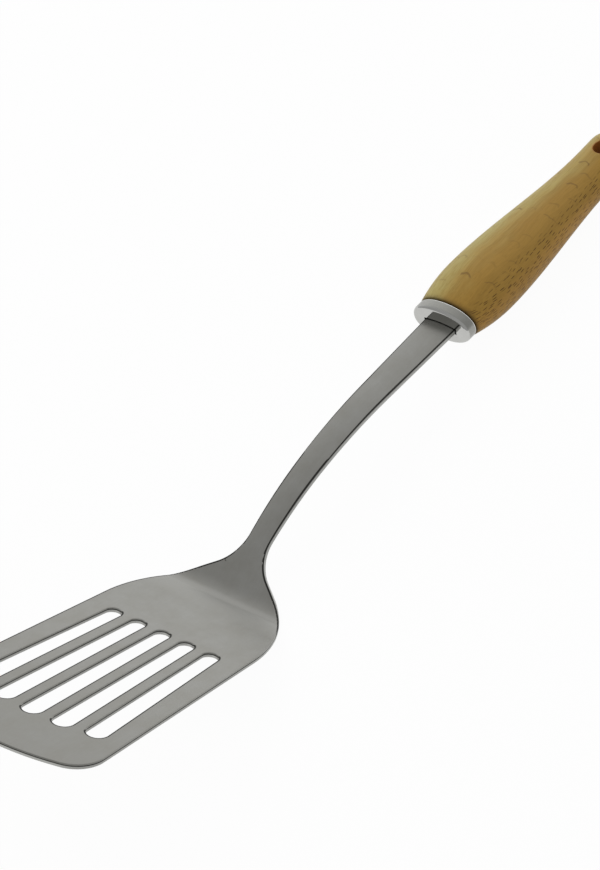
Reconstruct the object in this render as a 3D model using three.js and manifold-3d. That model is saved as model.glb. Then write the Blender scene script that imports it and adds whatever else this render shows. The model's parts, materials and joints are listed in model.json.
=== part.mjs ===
// Slotted pancake spatula: a bent stainless stamping, a polished ferrule and a beech handle.
// The tool is laid out with its blade flat and its front edge towards +X. It is then tipped back
// on to its heel and the end of its handle, the way it lies on a table.
import * as THREE from 'three';
import { mergeVertices } from 'three/addons/utils/BufferGeometryUtils.js';
import Module from 'manifold-3d';

const wasm = await Module();
wasm.setup();

// Driving dimensions in millimetres, with angles in degrees.

// Sheet metal
const sheetThickness = 2;
const edgeBreak = 0.35; // chamfer along every cut edge

// Blade, measured on the flat blank
const bladeLength = 126.4; // front edge to the start of the heel bend
const bladeFrontWidth = 78.4; // across the side lines, carried on to the front edge
const bladeSideFlare = 2.95; // lean of each side line, outwards to the front
const frontBowRadius = 101;
const frontCornerRadius = 12.4;
const shoulderRadius = 47.6;

// Slots that fan out to the front
const slotCount = 5;
const slotRearPitch = 11;
const slotFrontPitch = 12.9;
const slotRearWidth = 6.5;
const slotFrontWidth = 8.3;
const slotFrontLand = 20.9; // solid strip between the slots and the front edge
const slotRearLand = 30.7; // solid plate between the slots and the heel bend

// Heel bend, neck and shank
const heelBendRadius = 9.8; // inside the bend
const heelBendAngle = 51.3;
const neckLength = 20; // start of the heel bend to where the neck's edges would meet the shank's
const neckAngle = 51.8; // between the neck's edge and the middle line
const neckFilletRadius = 17.8;
const shankLength = 143; // start of the heel bend to the ferrule's face, along the sheet
const shankNeckWidth = 9.2;
const shankFerruleWidth = 13.8;
const shankCrown = 0.7; // arch across the shank
const crownRun = 26; // length over which the arch rises out of the neck
const lowerSweepRadius = 140.5;
const lowerSweepAngle = 21.1;
const upperSweepRadius = 210;
const handleRise = 19.4; // slope of the handle over the blade

// Tang, measured back from the ferrule's face
const tangLength = 74;
const tangWidth = 10;
const tangTaper = 1.6; // loss of width along the tang
const tangStepRun = 0.8; // length of the step down from shank to tang

// Ferrule
const ferruleWidth = 25.8;
const ferruleHeight = 14.6;
const ferruleLength = 5.2;
const ferruleWall = 0.9;
const ferruleEdgeRadius = 1.4;

// Handle, measured back from the ferrule's rear edge
const handleLength = 117;
const shoulderProud = 0.05; // wood standing out past the ferrule all round
const shoulderBreak = 0.5;
const bulgeSetback = 21;
const bulgeWidth = 31;
const bulgeHeight = 20.3;
const waistEndDistance = 20; // waist to the butt
const waistWidth = 20.3;
const waistHeight = 14.1;
const buttWidth = 22.1;
const buttHeight = 14.1;
const buttRounding = 11; // length of the rounded butt
const ovalPower = 2.15; // 2 is an ellipse, more is squarer
const holeEndDistance = 13.5; // hanging hole to the butt
const holeDiameter = 8;
const holeRim = 0.8; // rounding of the hole's two edges

// Bond and fits
const adhesiveWall = 1.1;
const adhesiveRearCover = 2.5;
const fitGap = 0.3;
const slotFit = 0.35; // play around the shank in the ferrule's slot

// Facets
const outlineDivisions = 9; // an arc of the outline gets twice as many
const bendFacetAngle = 3;
const ovalFacets = 44;
const gripRings = 24;
const buttRings = 8;
const buttFlat = 0.6; // share of a ring's step left flat at the butt's tip
const acrossFacets = 6; // across the arched sheet
const slotEndFacets = 12;
const edgeFacets = 4; // in each small rounding
const holeFacets = 28;

const rad = THREE.MathUtils.degToRad;
const halfSheet = sheetThickness / 2;

// Solids from stacked rings, and booleans

function loft(rings, capStart = true) {
  const count = rings[0].length;
  const positions = rings.flat().flatMap((p) => [p.x, p.y, p.z]);
  const index = [];
  for (let r = 0; r < rings.length - 1; r++) {
    for (let i = 0; i < count; i++) {
      const a = r * count + i;
      const b = r * count + (i + 1) % count;
      index.push(a, b, b + count, a, b + count, a + count);
    }
  }
  const addCap = (ring, first, flip) => {
    const middle = ring.reduce((sum, p) => sum.add(p), new THREE.Vector3()).divideScalar(count);
    const centre = positions.length / 3;
    positions.push(middle.x, middle.y, middle.z);
    for (let i = 0; i < count; i++) {
      const a = first + i;
      const b = first + (i + 1) % count;
      index.push(...(flip ? [centre, b, a] : [centre, a, b]));
    }
  };
  if (capStart) addCap(rings[0], 0, true);
  addCap(rings.at(-1), (rings.length - 1) * count, false);
  const geometry = new THREE.BufferGeometry();
  geometry.setAttribute('position', new THREE.Float32BufferAttribute(positions, 3));
  geometry.setIndex(index);
  return geometry;
}

function toSolid(geometry) {
  const bare = geometry.clone();
  bare.deleteAttribute('normal');
  bare.deleteAttribute('uv');
  const merged = mergeVertices(bare, 1e-5);
  const corners = merged.index.array;
  const kept = [];
  for (let i = 0; i < corners.length; i += 3) {
    const [a, b, c] = corners.slice(i, i + 3);
    if (a !== b && b !== c && c !== a) kept.push(a, b, c);
  }
  const vertProperties = new Float32Array(merged.attributes.position.array);
  return new wasm.Manifold(new wasm.Mesh({ numProp: 3, vertProperties, triVerts: new Uint32Array(kept) }));
}

function cut(body, ...cutters) {
  const solid = cutters.reduce((left, cutter) => left.subtract(toSolid(cutter)), toSolid(body));
  const mesh = solid.getMesh();
  const geometry = new THREE.BufferGeometry();
  geometry.setAttribute('position', new THREE.BufferAttribute(mesh.vertProperties, 3));
  geometry.setIndex(new THREE.BufferAttribute(mesh.triVerts, 1));
  geometry.computeVertexNormals();
  return geometry;
}

// Side profile of the sheet: runs of constant curvature, from the front edge back

const upperSweepAngle = heelBendAngle - lowerSweepAngle - handleRise;
const heelRun = (heelBendRadius + halfSheet) * rad(heelBendAngle);
const lowerRun = lowerSweepRadius * rad(lowerSweepAngle);
const upperRun = upperSweepRadius * rad(upperSweepAngle);
const ferruleStation = bladeLength + shankLength;
const sheetEnd = ferruleStation + tangLength;
const profileRuns = [
  { length: bladeLength, turn: 0 },
  { length: heelRun, turn: rad(heelBendAngle) },
  { length: lowerRun, turn: -rad(lowerSweepAngle) },
  { length: upperRun, turn: -rad(upperSweepAngle) },
  { length: sheetEnd - bladeLength - heelRun - lowerRun - upperRun, turn: 0 },
];

// Place and slope of the sheet's middle surface, at a distance back from the front edge.
function profileAt(station) {
  let x = bladeLength;
  let z = 0;
  let slope = 0;
  let left = station;
  for (const { length, turn } of profileRuns) {
    const part = Math.min(left, length);
    const turned = turn * part / length;
    const chord = turned === 0 ? part : part * Math.sin(turned / 2) / (turned / 2);
    x -= chord * Math.cos(slope + turned / 2);
    z += chord * Math.sin(slope + turned / 2);
    slope += turned;
    left -= part;
  }
  return { x, z, slope };
}

function onSheet(station, y, lift) {
  const { x, z, slope } = profileAt(station);
  return new THREE.Vector3(x + lift * Math.sin(slope), y, z + lift * Math.cos(slope));
}

// Flat blank: half of its outline, as points of distance back and half width

function lineMeet(a, directionA, b, directionB) {
  const gap = b.clone().sub(a);
  return a.clone().addScaledVector(directionA, gap.cross(directionB) / directionA.cross(directionB));
}

// Joins a corner's two lines by an arc that takes no more than its room on either line.
function roundCorner(path, before, corner, after, radius, room = Infinity) {
  const a = before.clone().sub(corner).normalize();
  const b = after.clone().sub(corner).normalize();
  const half = Math.acos(a.dot(b)) / 2;
  const reach = Math.min(radius / Math.tan(half), room);
  const start = corner.clone().addScaledVector(a, reach);
  const end = corner.clone().addScaledVector(b, reach);
  const centre = corner.clone().addScaledVector(a.add(b).normalize(), reach / Math.cos(half));
  const from = start.clone().sub(centre);
  const to = end.clone().sub(centre);
  path.lineTo(start.x, start.y);
  path.absarc(centre.x, centre.y, from.length(), from.angle(), to.angle(), from.cross(to) < 0);
  return reach;
}

function blankOutline() {
  const flare = rad(bladeSideFlare);
  const bowCentre = new THREE.Vector2(frontBowRadius, 0);
  const sideStart = new THREE.Vector2(0, bladeFrontWidth / 2);
  const sideway = new THREE.Vector2(Math.cos(flare), -Math.sin(flare));
  const inward = new THREE.Vector2(-Math.sin(flare), -Math.cos(flare));
  const path = new THREE.Path();

  // The corner's circle touches the bowed front edge and the side line from inside.
  const offset = sideStart.clone().addScaledVector(inward, frontCornerRadius);
  const fromBow = offset.clone().sub(bowCentre);
  const along = fromBow.dot(sideway);
  const inner = frontBowRadius - frontCornerRadius;
  const travel = -along - Math.sqrt(along * along - fromBow.lengthSq() + inner * inner);
  const corner = offset.clone().addScaledVector(sideway, travel);
  const cornerAngle = corner.clone().sub(bowCentre).angle();
  path.absarc(bowCentre.x, bowCentre.y, frontBowRadius, Math.PI, cornerAngle, true);
  path.absarc(corner.x, corner.y, frontCornerRadius, cornerAngle, Math.PI / 2 - flare, true);

  const neckway = new THREE.Vector2(Math.cos(rad(neckAngle)), -Math.sin(rad(neckAngle)));
  const neckEnd = new THREE.Vector2(bladeLength + neckLength, shankNeckWidth / 2);
  const shankEnd = new THREE.Vector2(ferruleStation, shankFerruleWidth / 2);
  const shoulder = lineMeet(sideStart, sideway, neckEnd, neckway);
  const shankway = shankEnd.clone().sub(neckEnd).angle();
  const neckTurn = rad(neckAngle) + shankway;
  const neckReach = neckFilletRadius * Math.tan(neckTurn / 2);
  roundCorner(path, sideStart, shoulder, neckEnd, shoulderRadius, shoulder.distanceTo(neckEnd) - neckReach);
  roundCorner(path, shoulder, neckEnd, shankEnd, neckFilletRadius);

  const stepStart = ferruleStation + ferruleWall + fitGap;
  path.lineTo(shankEnd.x, shankEnd.y);
  path.lineTo(stepStart, shankEnd.y);
  path.lineTo(stepStart + tangStepRun, tangWidth / 2);
  path.lineTo(sheetEnd, (tangWidth - tangTaper) / 2);
  return path.getPoints(outlineDivisions);
}

// Adds points where the sheet bends, so that no facet turns too far.
function refined(outline) {
  return outline.flatMap((end, i) => {
    if (i === 0) return [end];
    const start = outline[i - 1];
    const turn = Math.abs(profileAt(end.x).slope - profileAt(start.x).slope);
    const steps = Math.max(1, Math.ceil(turn / rad(bendFacetAngle)));
    return Array.from({ length: steps }, (_, k) => start.clone().lerp(end, (k + 1) / steps));
  });
}

// Section of the sheet: points of share across, lift off the middle surface, and whether on a face.
function sheetSection(halfThickness, crown) {
  const face = (side) => Array.from({ length: acrossFacets + 1 }, (_, k) => {
    const share = side * (2 * k / acrossFacets - 1);
    return { share, lift: crown * (1 - share * share) + side * halfThickness, onFace: 1 };
  });
  const edge = (share, side) => ({ share, lift: side * (halfThickness - edgeBreak), onFace: 0 });
  return [...face(1), edge(1, 1), edge(1, -1), ...face(-1), edge(-1, -1), edge(-1, 1)];
}

function crownAt(station) {
  const start = bladeLength + heelRun;
  return shankCrown * THREE.MathUtils.smoothstep(station, start, start + crownRun);
}

function sheetBody() {
  const outline = refined(blankOutline());
  const rings = outline.map((point, i) => {
    const before = outline[Math.max(i - 1, 0)];
    const after = outline[Math.min(i + 1, outline.length - 1)];
    const along = i === 0 ? new THREE.Vector2(0, 1) : after.clone().sub(before).normalize();
    const inset = new THREE.Vector2(along.y, -along.x).multiplyScalar(edgeBreak);
    return sheetSection(halfSheet, crownAt(point.x)).map(({ share, lift, onFace }) =>
      onSheet(point.x + onFace * inset.x, share * (point.y + onFace * inset.y), lift));
  });
  return loft(rings, false);
}

// Slots: tapered, with round ends, and flared at both faces to break their edges

function slotCutter(number) {
  const side = number - (slotCount - 1) / 2;
  const bowAt = (y) => frontBowRadius - Math.sqrt(frontBowRadius ** 2 - y ** 2);
  const rearRadius = slotRearWidth / 2;
  const frontRadius = slotFrontWidth / 2;
  const frontY = side * slotFrontPitch;
  const rear = new THREE.Vector2(bladeLength - slotRearLand - rearRadius, side * slotRearPitch);
  const front = new THREE.Vector2(bowAt(frontY) + slotFrontLand + frontRadius, frontY);
  const axis = front.clone().sub(rear);
  const lean = Math.asin((frontRadius - rearRadius) / axis.length());
  const heading = axis.angle();
  const arc = (centre, radius, from, to) => Array.from({ length: slotEndFacets + 1 }, (_, k) => {
    const angle = heading + from + (to - from) * k / slotEndFacets;
    return new THREE.Vector2(centre.x + radius * Math.cos(angle), centre.y + radius * Math.sin(angle));
  });
  const quarter = Math.PI / 2 + lean;
  const ring = (grow, lift) => [
    ...arc(front, frontRadius + grow, -quarter, quarter),
    ...arc(rear, rearRadius + grow, quarter, 2 * Math.PI - quarter),
  ].map((p) => onSheet(p.x, p.y, lift));
  const flat = halfSheet - edgeBreak;
  const past = halfSheet + edgeBreak;
  return loft([ring(2 * edgeBreak, past), ring(0, flat), ring(0, -flat), ring(2 * edgeBreak, -past)]);
}

function turnerSheet() {
  const slots = Array.from({ length: slotCount }, (_, number) => slotCutter(number));
  return cut(sheetBody(), ...slots);
}

// Ferrule and handle share a frame: the ferrule's face is at x 0, and the handle runs to -X

const spigotFront = ferruleWall + 2 * fitGap + tangStepRun;

function oval(setback, halfWidth, halfHeight) {
  const bend = (value) => Math.sign(value) * Math.abs(value) ** (2 / ovalPower);
  return Array.from({ length: ovalFacets }, (_, i) => {
    const angle = 2 * Math.PI * i / ovalFacets;
    const y = halfWidth * bend(Math.cos(angle));
    const z = -halfHeight * bend(Math.sin(angle));
    return new THREE.Vector3(-setback, y, z);
  });
}

function straightSheet(setback, halfWidth, halfThickness) {
  return sheetSection(halfThickness, shankCrown).map(({ share, lift }) =>
    new THREE.Vector3(-setback, share * halfWidth, lift - shankCrown / 2));
}

function ferrule() {
  const halfWidth = ferruleWidth / 2;
  const halfHeight = ferruleHeight / 2;
  const edge = Array.from({ length: edgeFacets + 1 }, (_, k) => {
    const angle = Math.PI / 2 * k / edgeFacets;
    const inset = ferruleEdgeRadius * (1 - Math.sin(angle));
    return oval(ferruleEdgeRadius * (1 - Math.cos(angle)), halfWidth - inset, halfHeight - inset);
  });
  const outside = loft([...edge, oval(ferruleLength, halfWidth, halfHeight)]);
  const inside = loft([ferruleWall, ferruleLength + ferruleWall].map((setback) =>
    oval(setback, halfWidth - ferruleWall, halfHeight - ferruleWall)));
  const slot = loft([-ferruleWall, 2 * ferruleWall].map((setback) =>
    straightSheet(setback, shankFerruleWidth / 2 + slotFit, halfSheet + slotFit)));
  return cut(outside, inside, slot);
}

// Half width or half height of the grip, from its size at the shoulder, bulge, waist and butt.
function gripHalf(setback, shoulder, bulge, waist, butt) {
  const waistSetback = handleLength - waistEndDistance;
  const swell = Math.max(0, 1 - setback / bulgeSetback) ** 2;
  const taper = THREE.MathUtils.smoothstep(setback, bulgeSetback, waistSetback);
  const flare = Math.max(0, (setback - waistSetback) / waistEndDistance) ** 2;
  return (bulge - (bulge - shoulder) * swell - (bulge - waist) * taper + (butt - waist) * flare) / 2;
}

function gripRing(setback, scale, inset) {
  const proud = 2 * shoulderProud;
  const halfWidth = gripHalf(setback, ferruleWidth + proud, bulgeWidth, waistWidth, buttWidth);
  const halfHeight = gripHalf(setback, ferruleHeight + proud, bulgeHeight, waistHeight, buttHeight);
  return oval(ferruleLength + setback, (halfWidth - inset) * scale, (halfHeight - inset) * scale);
}

function hangingHole() {
  const setback = handleLength - holeEndDistance;
  const surface = gripHalf(setback, ferruleHeight, bulgeHeight, waistHeight, buttHeight);
  const radius = holeDiameter / 2;
  const rim = Array.from({ length: edgeFacets + 1 }, (_, k) => {
    const angle = Math.PI / 2 * k / edgeFacets;
    const out = radius + holeRim * (1 - Math.cos(angle));
    return new THREE.Vector2(out, surface - holeRim * (1 - Math.sin(angle)));
  });
  const mouth = new THREE.Vector2(radius + 2 * holeRim, surface + holeRim);
  const upper = [...rim, mouth, new THREE.Vector2(0, mouth.y)];
  const lower = upper.map((p) => new THREE.Vector2(p.x, -p.y)).reverse();
  const cutter = new THREE.LatheGeometry([...lower, ...upper], holeFacets, Math.PI / holeFacets);
  return cutter.rotateX(Math.PI / 2).translate(-ferruleLength - setback, 0, 0);
}

const pocketEnd = tangLength + fitGap + adhesiveRearCover;

// Squared block round the tang, with its long edges broken.
function tangBlock(start, end, margin) {
  const halfWidth = tangWidth / 2 + margin;
  const halfHeight = halfSheet + shankCrown / 2 + margin;
  const corner = edgeBreak * 2;
  const outline = [
    [halfWidth - corner, halfHeight], [halfWidth, halfHeight - corner],
    [halfWidth, corner - halfHeight], [halfWidth - corner, -halfHeight],
    [corner - halfWidth, -halfHeight], [-halfWidth, corner - halfHeight],
    [-halfWidth, halfHeight - corner], [corner - halfWidth, halfHeight],
  ];
  return loft([start, end].map((setback) => outline.map(([y, z]) => new THREE.Vector3(-setback, y, z))));
}

function handle() {
  const spigotWidth = ferruleWidth / 2 - ferruleWall - fitGap;
  const spigotHeight = ferruleHeight / 2 - ferruleWall - fitGap;
  const gripStart = fitGap + shoulderBreak;
  const gripRun = handleLength - buttRounding - gripStart;
  const grip = Array.from({ length: gripRings + 1 }, (_, k) =>
    gripRing(gripStart + gripRun * k / gripRings, 1, 0));
  const butt = Array.from({ length: buttRings }, (_, k) => {
    const angle = Math.PI / 2 * (k + 1) / (buttRings + buttFlat);
    return gripRing(handleLength - buttRounding * (1 - Math.sin(angle)), Math.cos(angle), 0);
  });
  const body = loft([
    oval(spigotFront, spigotWidth, spigotHeight),
    oval(ferruleLength + fitGap, spigotWidth, spigotHeight),
    gripRing(fitGap, 1, shoulderBreak),
    ...grip,
    ...butt,
  ]);
  const pocket = tangBlock(spigotFront - fitGap, pocketEnd + fitGap, 2 * fitGap + adhesiveWall);
  return cut(body, pocket, hangingHole());
}

function tangAdhesive() {
  const block = tangBlock(spigotFront, pocketEnd, fitGap + adhesiveWall);
  const tangEndWidth = tangWidth - tangTaper;
  const cavity = loft([
    straightSheet(spigotFront - fitGap, tangWidth / 2 + fitGap, halfSheet + fitGap),
    straightSheet(tangLength + fitGap, tangEndWidth / 2 + fitGap, halfSheet + fitGap),
  ]);
  return cut(block, cavity);
}

// Scene graph

function piece(name, geometry, color, roughness, metalness) {
  const mesh = new THREE.Mesh(geometry, new THREE.MeshStandardMaterial({ color, roughness, metalness }));
  mesh.name = name;
  return mesh;
}

const grip = new THREE.Group();
const seat = onSheet(ferruleStation, 0, shankCrown / 2);
grip.position.copy(seat);
grip.rotation.y = rad(handleRise);
grip.add(
  piece('ferrule', ferrule(), 0xc9cac8, 0.12, 1),
  piece('handle', handle(), 0xa8854e, 0.55, 0),
  piece('tang_adhesive', tangAdhesive(), 0x4a4a46, 0.6, 0),
);

const spatula = new THREE.Group();
spatula.add(piece('turner_sheet', turnerSheet(), 0x8f8f8b, 0.38, 1), grip);

// Lowest point of a piece when the blade is tipped up at the front by an angle.
function lowest(mesh, tip) {
  mesh.updateWorldMatrix(true, false);
  const place = mesh.geometry.attributes.position;
  const point = new THREE.Vector3();
  let low = Infinity;
  for (let i = 0; i < place.count; i++) {
    point.fromBufferAttribute(place, i).applyMatrix4(mesh.matrixWorld);
    low = Math.min(low, point.x * Math.sin(tip) + point.z * Math.cos(tip));
  }
  return low;
}

// The angle at which heel and handle touch the table together.
function restAngle() {
  const sheet = spatula.getObjectByName('turner_sheet');
  const wood = spatula.getObjectByName('handle');
  let flat = 0;
  let steep = rad(heelBendAngle);
  while (steep - flat > 1e-7) {
    const middle = (flat + steep) / 2;
    if (lowest(sheet, middle) < lowest(wood, middle)) flat = middle;
    else steep = middle;
  }
  return flat;
}

spatula.rotation.y = -restAngle();
spatula.updateMatrixWorld(true);
const box = new THREE.Box3().setFromObject(spatula, true);
const middle = box.getCenter(new THREE.Vector3());
spatula.position.set(-middle.x, -middle.y, -box.min.z);

const part = new THREE.Group();
part.add(spatula);

export default part;
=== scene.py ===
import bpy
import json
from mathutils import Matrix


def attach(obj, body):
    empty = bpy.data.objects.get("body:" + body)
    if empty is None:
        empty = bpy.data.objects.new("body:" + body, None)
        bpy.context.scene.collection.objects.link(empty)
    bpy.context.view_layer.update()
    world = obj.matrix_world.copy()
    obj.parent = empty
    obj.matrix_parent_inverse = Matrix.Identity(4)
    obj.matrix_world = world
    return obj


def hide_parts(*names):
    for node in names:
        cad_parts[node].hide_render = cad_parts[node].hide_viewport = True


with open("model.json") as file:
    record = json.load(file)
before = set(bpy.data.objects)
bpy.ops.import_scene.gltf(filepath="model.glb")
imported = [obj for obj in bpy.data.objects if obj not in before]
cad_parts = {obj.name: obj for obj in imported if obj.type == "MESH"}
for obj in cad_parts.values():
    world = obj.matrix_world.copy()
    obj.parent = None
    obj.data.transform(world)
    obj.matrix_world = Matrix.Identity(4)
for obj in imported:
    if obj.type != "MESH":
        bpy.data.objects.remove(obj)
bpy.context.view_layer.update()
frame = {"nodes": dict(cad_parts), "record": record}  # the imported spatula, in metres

import json
import math

import bmesh
import bpy
from mathutils import Matrix, Vector

mm = 0.001  # pieces are modelled in millimetres, then brought to metres
quarterTurn = math.pi / 2
slack = 0.001  # millimetres, where two places are compared
sharpAngle = math.radians(60)  # edges that turn further than this get rounded

print("frame loaded:", sorted(frame["nodes"]))


# Small helpers for selecting, tracing and shaping

def deselectAll():
    bpy.ops.object.select_all(action="DESELECT")


def pick(piece):
    deselectAll()
    piece.select_set(True)
    bpy.context.view_layer.objects.active = piece


def setMode(mode):
    bpy.ops.object.mode_set(mode=mode)


def selectMesh():  # edit mode, as are the next few
    bpy.ops.mesh.select_all(action="SELECT")


def deselectMesh():
    bpy.ops.mesh.select_all(action="DESELECT")


def selectWhere(piece, test):  # selects the vertices that pass the test
    mesh = bmesh.from_edit_mesh(piece.data)
    for vertex in mesh.verts:
        vertex.select = test(vertex)
    mesh.select_flush_mode()
    bmesh.update_edit_mesh(piece.data)


def spinAbout(centre, angle, steps):  # with no window a positive spin runs clockwise
    bpy.ops.mesh.spin(steps=steps, angle=-angle, center=centre.to_3d(), axis=(0, 0, 1))


def extrudeBy(move):
    bpy.ops.mesh.extrude_region_move(TRANSFORM_OT_translate={"value": move})


def bisectAt(point, normal):  # splits what is selected by a plane
    bpy.ops.mesh.bisect(plane_co=point, plane_no=normal, use_fill=False)


def closeLoop():
    bpy.ops.mesh.edge_face_add()


def faceOutwards():  # and back to object mode
    selectMesh()
    bpy.ops.mesh.normals_make_consistent(inside=False)
    setMode("OBJECT")


def newPiece(name):  # an object with one loose vertex, left in edit mode
    deselectAll()
    bpy.ops.mesh.primitive_plane_add(size=1)
    bpy.context.object.name = name
    setMode("EDIT")
    bpy.ops.mesh.merge(type="CENTER")
    return bpy.context.object


def applyPlace():  # place, turn and scale go into the mesh
    bpy.ops.object.transform_apply(location=True, rotation=True, scale=True)


def newBlock(size, x):  # a block to cut with
    deselectAll()
    bpy.ops.mesh.primitive_cube_add(size=1)
    block = bpy.context.object
    block.scale = size
    block.location.x = x
    applyPlace()
    return block


def applyModifier(piece, kind, **settings):
    pick(piece)
    modifier = piece.modifiers.new(kind.lower(), kind)
    for name, value in settings.items():
        setattr(modifier, name, value)
    bpy.ops.object.modifier_apply(modifier=modifier.name)


def roundEdges(piece, width, steps):
    applyModifier(piece, "BEVEL", width=width, segments=steps, limit_method="ANGLE",
                  angle_limit=sharpAngle, use_clamp_overlap=False)


def cutAway(piece, cutter):
    applyModifier(piece, "BOOLEAN", operation="DIFFERENCE", solver="EXACT", object=cutter)
    bpy.data.objects.remove(cutter)


def bringToPlace(piece, place):  # from millimetres in its own frame to metres in the spatula's
    pick(piece)
    piece.matrix_world = place @ Matrix.Scale(mm, 4)
    applyPlace()


def smoothOver(piece, angle):  # broad faces keep their own normals, and their rounded edges turn smoothly
    pick(piece)
    bpy.ops.object.shade_smooth_by_angle(angle=math.radians(angle))
    applyModifier(piece, "WEIGHTED_NORMAL", mode="FACE_AREA", weight=50, keep_sharp=True)


def smoothStep(value):
    t = min(max(value, 0.0), 1.0)
    return t * t * (3 - 2 * t)


# Stamping: blade, heel bend, neck, shank and tang of one sheet, in millimetres and degrees

stamping = {
    "fullThickness": 2.0,
    "thickness": 1.98,  # trimmed like the edges, to keep the finer rounding just inside the solids
    "edgeTrim": 0.02,
    "edgeRound": 0.42,
    "edgeSteps": 4,
    "borderStrip": 1.2,  # even strip of faces along every edge
    "bladeLength": 126.4,
    "frontWidth": 78.4,  # across the side lines, carried on to the front edge
    "sideFlare": 2.95,
    "frontBow": 101.0,
    "frontCorner": 12.4,
    "shoulder": 47.6,
    "slotCount": 5,
    "slotRearPitch": 11.0,
    "slotFrontPitch": 12.9,
    "slotRearWidth": 6.5,
    "slotFrontWidth": 8.3,
    "slotFrontLand": 20.9,
    "slotRearLand": 30.7,
    "slotFacets": 64,
    "heelRadius": 9.8,  # inside the bend
    "heelAngle": 51.3,
    "neckLength": 20.0,
    "neckAngle": 51.8,
    "neckFillet": 17.8,
    "shankLength": 143.0,
    "shankNeckWidth": 9.2,
    "shankFerruleWidth": 13.8,
    "shankCrown": 0.7,
    "crownRun": 26.0,
    "lowerSweepRadius": 140.5,
    "lowerSweepAngle": 21.1,
    "upperSweepRadius": 210.0,
    "handleRise": 19.4,
    "tangLength": 74.0,
    "tangWidth": 10.0,
    "tangTaper": 1.6,
    "tangStep": 0.8,
    "tangStepSetback": 1.2,
    "mountAhead": 16.0,  # the record's mount lies this far in front of the heel bend
    "arcFacet": 2.5,  # degrees
    "bendFacet": 2.0,  # degrees
    "sweepFacet": 3.0,  # length of a facet along the shank
    "crownFacet": 1.0,  # width of a facet across the shank
    "weld": 0.004,  # vertices closer than this become one, after the rows are cut
    "smoothing": 40,
    "flatNormal": 0.9995,  # a vertex whose normal stands at least this upright is on a face, not on an edge
    "faceReach": 1.1,  # edge depth of the faces, beyond their edges
    "rollover": 0.68,  # depth by which the painted dark line is moved down the blade's edges that face +X or +Y, as under a rolled-over lip
    "rolloverRun": 12.0,  # half the length over which it dies out at the heel
    "rolloverTurn": 0.6,  # and how much of a turn it takes to die out round a slot's end
}

halfSheet = stamping["fullThickness"] / 2


def bladePlace():  # the record's mount gives the blade's tilt and place
    mount = frame["record"]["mounts"][0]
    axis = Vector(mount["axis"])
    turn = Matrix.Rotation(-math.atan2(axis.x, -axis.z), 4, "Y")
    point = turn @ Vector((stamping["mountAhead"], 0, -halfSheet))
    return Matrix.Translation(Vector(mount["pos_m"]) - point * mm) @ turn


heelRun = (stamping["heelRadius"] + halfSheet) * math.radians(stamping["heelAngle"])
lowerRun = stamping["lowerSweepRadius"] * math.radians(stamping["lowerSweepAngle"])
upperSweepAngle = stamping["heelAngle"] - stamping["lowerSweepAngle"] - stamping["handleRise"]
upperRun = stamping["upperSweepRadius"] * math.radians(upperSweepAngle)
profileRuns = [  # length along the sheet, and how far the sheet turns over it
    (heelRun, math.radians(stamping["heelAngle"])),
    (lowerRun, -math.radians(stamping["lowerSweepAngle"])),
    (upperRun, -math.radians(upperSweepAngle)),
    (math.inf, 0.0),
]


def bent(point):  # where a point of the flat blank goes once the sheet is bent
    x, z, slope = max(point.x, 0.0), 0.0, 0.0
    left = max(-point.x, 0.0)
    for length, turn in profileRuns:
        part = min(left, length)
        turned = turn * part / length
        chord = part if turned == 0 else part * math.sin(turned / 2) / (turned / 2)
        x -= chord * math.cos(slope + turned / 2)
        z += chord * math.sin(slope + turned / 2)
        slope += turned
        left -= part
    return Vector((x + point.z * math.sin(slope), point.y, z + point.z * math.cos(slope)))


def heading(angle):
    return Vector((math.cos(angle), math.sin(angle)))


def lineMeet(a, wayA, b, wayB):
    return a + wayA * ((b - a).cross(wayB) / wayA.cross(wayB))


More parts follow.
